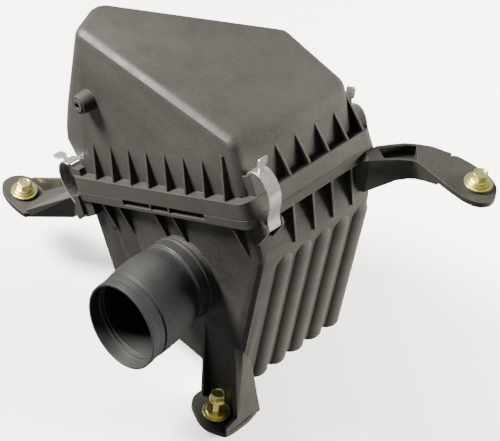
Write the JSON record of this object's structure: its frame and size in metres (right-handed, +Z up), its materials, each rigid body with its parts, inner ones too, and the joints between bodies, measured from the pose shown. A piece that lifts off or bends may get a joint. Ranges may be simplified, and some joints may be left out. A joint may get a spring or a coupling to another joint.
{
  "type": "engine air filter housing",
  "caption": "Moulded plastic engine air filter housing with a tilted split line, a lid held by spring clips, an inlet duct and bolt-down feet.",
  "frame": {"origin": "underside of the front foot's plate, 16 mm to the left of its bolt's axis", "axes": "+Z up along the bolt axes, -Y towards the inlet duct's mouth, +X towards the fluted wall"},
  "size_m": [0.4013, 0.2648, 0.2848],
  "materials": {
    "plastic": "satin black moulded polypropylene with a fine grain",
    "rubber": "matte",
    "urethane": "soft moulded urethane",
    "filter_paper": "pleated paper",
    "spring_steel": "bright galvanised strip",
    "yellow_zinc": "yellow zinc plate"
  },
  "bodies": {
    "housing": {"lower_housing": "plastic", "inlet_duct": "plastic", "inlet_gasket": "rubber", "grommet_front": "rubber", "grommet_left": "rubber", "grommet_right": "rubber", "sleeve_front": "yellow_zinc", "sleeve_left": "yellow_zinc", "sleeve_right": "yellow_zinc", "washer_front": "yellow_zinc", "washer_left": "yellow_zinc", "washer_right": "yellow_zinc"},
    "lid": {"lid": "plastic", "port_grommet": "rubber"},
    "filter": {"filter_seal": "urethane", "filter_media": "filter_paper"},
    "clip_front": {"clip_front": "spring_steel"},
    "clip_left": {"clip_left": "spring_steel"},
    "clip_back_right": {"clip_back_right": "spring_steel"},
    "clip_back_left": {"clip_back_left": "spring_steel"},
    "bolt_front": {"bolt_front": "yellow_zinc"},
    "bolt_left": {"bolt_left": "yellow_zinc"},
    "bolt_right": {"bolt_right": "yellow_zinc"}
  },
  "joints": [
    {"name": "clip_front_turn", "type": "hinge", "parent": "housing", "child": "clip_front", "pos_m": [0.02578, 0.026, 0.22013], "axis": [0, 1, 0], "range_deg": [0, 45]},
    {"name": "clip_left_turn", "type": "hinge", "parent": "housing", "child": "clip_left", "pos_m": [-0.17039, 0.014, 0.09287], "axis": [0, -1, 0], "range_deg": [0, 45]},
    {"name": "clip_back_right_turn", "type": "hinge", "parent": "housing", "child": "clip_back_right", "pos_m": [0.00154, 0.1556, 0.19663], "axis": [-0.8625, 0, -0.506], "range_deg": [0, 45]},
    {"name": "clip_back_left_turn", "type": "hinge", "parent": "housing", "child": "clip_back_left", "pos_m": [-0.12611, 0.1556, 0.12174], "axis": [-0.8625, 0, -0.506], "range_deg": [0, 45]},
    {"name": "lid_lift", "type": "slide", "parent": "housing", "child": "lid", "axis": [-0.506, 0, 0.8625], "range_m": [0, 0.0157]},
    {"name": "filter_lift", "type": "slide", "parent": "housing", "child": "filter", "axis": [-0.506, 0, 0.8625], "range_m": [0, 0.0075]},
    {"name": "bolt_front_draw", "type": "slide", "parent": "housing", "child": "bolt_front", "axis": [0, 0, 1], "range_m": [-0.0128, 0.004]},
    {"name": "bolt_left_draw", "type": "slide", "parent": "housing", "child": "bolt_left", "axis": [0, 0, 1], "range_m": [0, 0.013]},
    {"name": "bolt_right_draw", "type": "slide", "parent": "housing", "child": "bolt_right", "axis": [0, 0, 1], "range_m": [0, 0.013]}
  ],
  "couplings": [
    {"joint": "clip_front_turn", "follows": "lid_lift", "rad_per_m": 50},
    {"joint": "clip_left_turn", "follows": "lid_lift", "rad_per_m": 50},
    {"joint": "clip_back_right_turn", "follows": "lid_lift", "rad_per_m": 50},
    {"joint": "clip_back_left_turn", "follows": "lid_lift", "rad_per_m": 50},
    {"joint": "filter_lift", "follows": "lid_lift", "ratio": 0.42}
  ]
}
